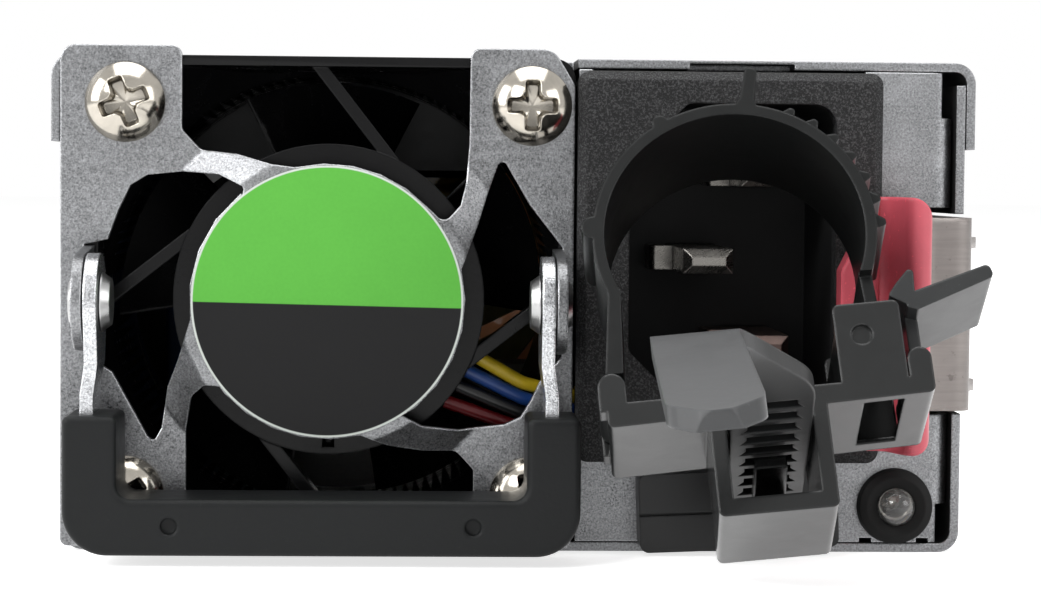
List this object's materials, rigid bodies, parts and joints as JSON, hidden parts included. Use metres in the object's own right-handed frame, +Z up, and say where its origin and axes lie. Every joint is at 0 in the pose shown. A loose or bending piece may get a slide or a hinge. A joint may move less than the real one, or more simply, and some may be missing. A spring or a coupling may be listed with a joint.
{
  "type": "hot swap server power supply",
  "caption": "Slim metal hot swap power supply with a guarded fan, swing handle, side latch, mains inlet, cord retainer and rear edge connector.",
  "frame": {"origin": "middle of the underside of the case", "axes": "+Y into the bay towards the edge connector, +Z up, +X to the right seen from the handle end"},
  "size_m": [0.0754, 0.2618, 0.04],
  "materials": {
    "arm_steel": "zinc-coated",
    "black_epoxy": "moulded",
    "board": "solder resist",
    "brass_tube": "turned",
    "capacitor_sleeve": "shrink sleeve",
    "case_steel": "zinc-coated sheet",
    "copper": "enamelled wire",
    "copper_pin": "worn plating",
    "core_green": "epoxy coat",
    "dark_screw": "black oxide",
    "fan_plastic": "moulded, slight sheen",
    "ferrite": "sintered",
    "film": "translucent film",
    "front_steel": "zinc-coated sheet, satin",
    "gold": "gold flash",
    "grip_plastic": "fine satin texture",
    "grommet_rubber": "soft",
    "heatsink": "extruded",
    "inlet_plastic": "sparkling grain",
    "label": "printed two-tone film, bare of text",
    "latch_red": "moulded",
    "leaf_steel": "rolled spring steel",
    "lens": "diffused",
    "nickel": "nickel-plated",
    "nylon_black": "slight sheen",
    "nylon_grey": "satin",
    "pin_steel": "ground",
    "relay_body": "moulded box",
    "socket_white": "moulded",
    "stator": "laminated with enamelled coils",
    "tape_yellow": "polyester tape",
    "wire_black": "insulation",
    "wire_blue": "insulation",
    "wire_red": "insulation",
    "wire_yellow": "insulation"
  },
  "bodies": {
    "chassis": {"case_base": "case_steel", "top_cover": "case_steel", "cover_screws": "dark_screw", "cover_brackets": "case_steel", "rear_panel": "case_steel", "front_panel": "front_steel", "fan_frame": "fan_plastic", "fan_bearings": "pin_steel", "bearing_tube": "brass_tube", "motor_stator": "stator", "motor_board": "board", "fan_wire_yellow": "wire_yellow", "fan_wire_blue": "wire_blue", "fan_wire_black": "wire_black", "fan_wire_red": "wire_red", "fan_guard": "front_steel", "fan_screws": "nickel", "hub_label": "label", "handle_rivets": "nickel", "inlet_housing": "inlet_plastic", "earth_pin": "nickel", "neutral_pin": "nickel", "line_pin": "copper_pin", "latch_rivets": "nickel", "latch_anchor": "case_steel", "led_lens": "lens", "led_leads": "nickel", "led_grommet": "grommet_rubber", "retainer_strap": "nylon_black", "main_board": "board", "edge_fingers": "gold", "board_standoffs": "brass_tube", "board_screws": "dark_screw", "insulator_film": "film", "bulk_capacitors": "capacitor_sleeve", "transformer_core": "ferrite", "transformer_coil": "tape_yellow", "choke_core": "core_green", "choke_coil": "copper", "input_heatsink": "heatsink", "output_heatsink": "heatsink", "output_transistors": "black_epoxy", "output_capacitors": "heatsink", "control_board": "board", "control_chips": "black_epoxy", "input_relay": "relay_body", "x_capacitor": "relay_body", "fuse_link": "lens", "fan_socket": "socket_white"},
    "handle": {"handle_arm_left": "arm_steel", "handle_arm_right": "arm_steel", "handle_grip": "grip_plastic"},
    "fan": {"fan_rotor": "fan_plastic", "fan_shaft": "pin_steel"},
    "latch": {"latch_leaf": "leaf_steel", "latch_tab": "latch_red"},
    "clamp": {"clamp_slider": "nylon_grey"},
    "ring": {"clamp_ring": "nylon_grey"},
    "lever": {"clamp_lever": "nylon_grey"}
  },
  "joints": [
    {"name": "handle_swing", "type": "hinge", "parent": "chassis", "child": "handle", "pos_m": [-0.0148, -0.0985, 0.02], "axis": [-1, 0, 0], "range_deg": [0, 80]},
    {"name": "fan_spin", "type": "hinge", "parent": "chassis", "child": "fan", "pos_m": [-0.0148, -0.0805, 0.02], "axis": [0, 1, 0], "continuous": true},
    {"name": "latch_press", "type": "hinge", "parent": "chassis", "child": "latch", "pos_m": [0.03435, -0.0485, 0.0192], "axis": [0, 0, -1], "range_deg": [0, 2.9], "stiffness_Nm_per_rad": 5, "springref_deg": -1.15},
    {"name": "clamp_slide", "type": "slide", "parent": "chassis", "child": "clamp", "axis": [-0.0955, -0.9085, 0.4067], "range_m": [0, 0.008]},
    {"name": "clamp_open", "type": "hinge", "parent": "clamp", "child": "ring", "pos_m": [0.00668, -0.10999, 0.01253], "axis": [-0.0955, -0.9085, 0.4067], "range_deg": [0, 3.5]},
    {"name": "lever_press", "type": "hinge", "parent": "clamp", "child": "lever", "pos_m": [0.02857, -0.11125, 0.01486], "axis": [0.0955, 0.9085, -0.4067], "range_deg": [0, 8], "stiffness_Nm_per_rad": 0.05, "springref_deg": -1.72}
  ]
}
